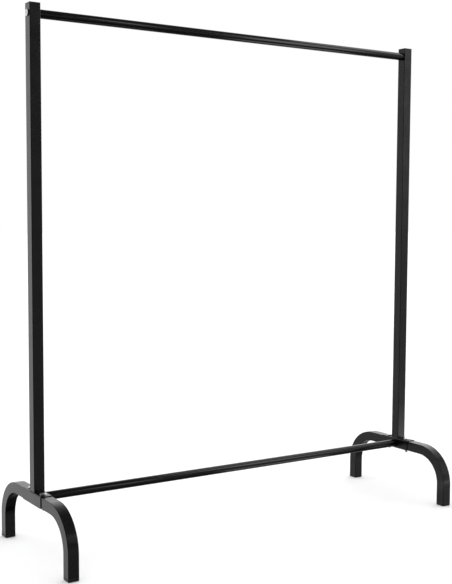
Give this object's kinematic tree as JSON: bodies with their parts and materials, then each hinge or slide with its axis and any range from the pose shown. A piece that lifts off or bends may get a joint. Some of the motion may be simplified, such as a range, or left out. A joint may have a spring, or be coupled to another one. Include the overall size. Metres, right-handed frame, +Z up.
{
  "type": "garment rack",
  "caption": "Straight free-standing garment rack: two square-tube uprights on arched bent-tube feet, joined by a round hanging rail at the top and a round stretcher rail low down.",
  "frame": {"origin": "on the floor, midway between the two uprights and midway between the front and rear legs", "axes": "+X along the rails towards the right-hand upright as seen from the front, +Y from the front to the rear, +Z up"},
  "size_m": [1.406, 0.48, 1.543],
  "materials": {
    "powder_coated_steel": "satin black powder coat with a fine texture",
    "zinc_steel": "bright zinc plate",
    "black_plastic": "moulded polyethylene, fine matt"
  },
  "bodies": {
    "root": {"left_upright": "powder_coated_steel", "right_upright": "powder_coated_steel", "left_top_cap": "black_plastic", "right_top_cap": "black_plastic", "top_rail": "powder_coated_steel", "left_rail_plug": "zinc_steel", "right_rail_plug": "zinc_steel", "left_rail_bolt": "zinc_steel", "right_rail_bolt": "zinc_steel", "left_saddle": "powder_coated_steel", "right_saddle": "powder_coated_steel", "left_rail_stub": "powder_coated_steel", "right_rail_stub": "powder_coated_steel", "lower_rail": "powder_coated_steel", "left_foot": "powder_coated_steel", "right_foot": "powder_coated_steel", "left_front_foot_bolt": "zinc_steel", "left_rear_foot_bolt": "zinc_steel", "right_front_foot_bolt": "zinc_steel", "right_rear_foot_bolt": "zinc_steel", "left_front_cap_nut": "zinc_steel", "left_rear_cap_nut": "zinc_steel", "right_front_cap_nut": "zinc_steel", "right_rear_cap_nut": "zinc_steel", "left_front_glide": "black_plastic", "left_rear_glide": "black_plastic", "right_front_glide": "black_plastic", "right_rear_glide": "black_plastic"}
  },
  "joints": []
}
